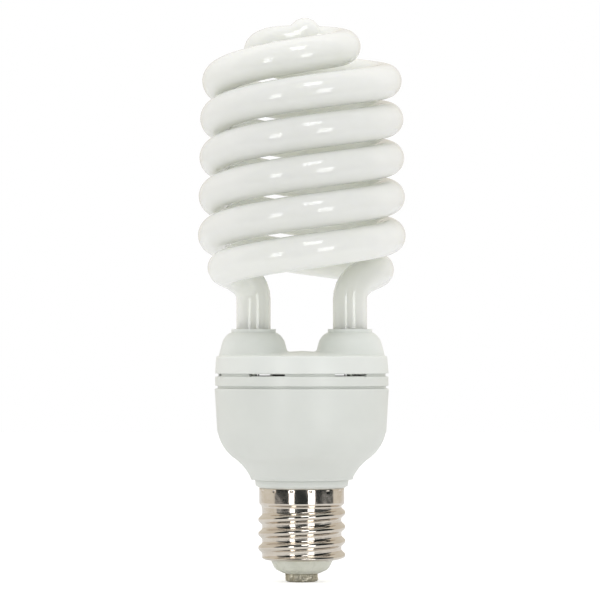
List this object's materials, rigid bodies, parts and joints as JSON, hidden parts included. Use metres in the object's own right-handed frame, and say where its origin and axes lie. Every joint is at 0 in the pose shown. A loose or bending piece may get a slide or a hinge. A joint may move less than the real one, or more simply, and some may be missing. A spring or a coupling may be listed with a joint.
{
  "type": "compact fluorescent bulb",
  "caption": "Spiral compact fluorescent bulb: a double-wound glass tube on a domed white housing, with a large screw base.",
  "frame": {"origin": "centre of the bottom face of the centre contact", "axes": "+Z along the lamp's axis from the contact to the glass; the tube's two legs stand on the X axis"},
  "size_m": [0.0934, 0.0938, 0.2537],
  "materials": {
    "coated_glass": "glossy",
    "clear_glass": "glossy",
    "housing_plastic": "satin",
    "shell_metal": "polished",
    "insulator_glass": "glossy",
    "contact_metal": "dull",
    "solder": "satin",
    "cement": "matte",
    "board": "matte",
    "tinned_wire": "satin",
    "capacitor_sleeve": "glossy",
    "ferrite": "matte",
    "copper_winding": "satin",
    "film_case": "glossy",
    "black_epoxy": "matte",
    "resistor_body": "matte"
  },
  "bodies": {
    "root": {"tube_bridge": "coated_glass", "left_upper_turn": "coated_glass", "right_upper_turn": "coated_glass", "left_lower_turn": "coated_glass", "right_lower_turn": "coated_glass", "left_leg": "coated_glass", "right_leg": "coated_glass", "top_cover": "housing_plastic", "vent_ring": "housing_plastic", "lower_housing": "housing_plastic", "base_collar": "housing_plastic", "screw_shell": "shell_metal", "base_insulator": "insulator_glass", "centre_contact": "contact_metal", "contact_solder": "solder", "left_stem": "clear_glass", "right_stem": "clear_glass", "left_electrode": "tinned_wire", "right_electrode": "tinned_wire", "left_cement": "cement", "right_cement": "cement", "ballast_board": "board", "board_pins": "tinned_wire", "left_capacitor": "capacitor_sleeve", "right_capacitor": "capacitor_sleeve", "choke_core": "ferrite", "choke_winding": "copper_winding", "filter_choke_core": "ferrite", "filter_choke_winding": "copper_winding", "drive_ring": "ferrite", "power_transistors": "black_epoxy", "film_capacitors": "film_case", "rectifier_diodes": "black_epoxy", "resistors": "resistor_body", "fuse_resistor": "resistor_body", "contact_lead": "tinned_wire", "fuse_lead": "tinned_wire", "shell_lead": "tinned_wire"}
  },
  "joints": []
}
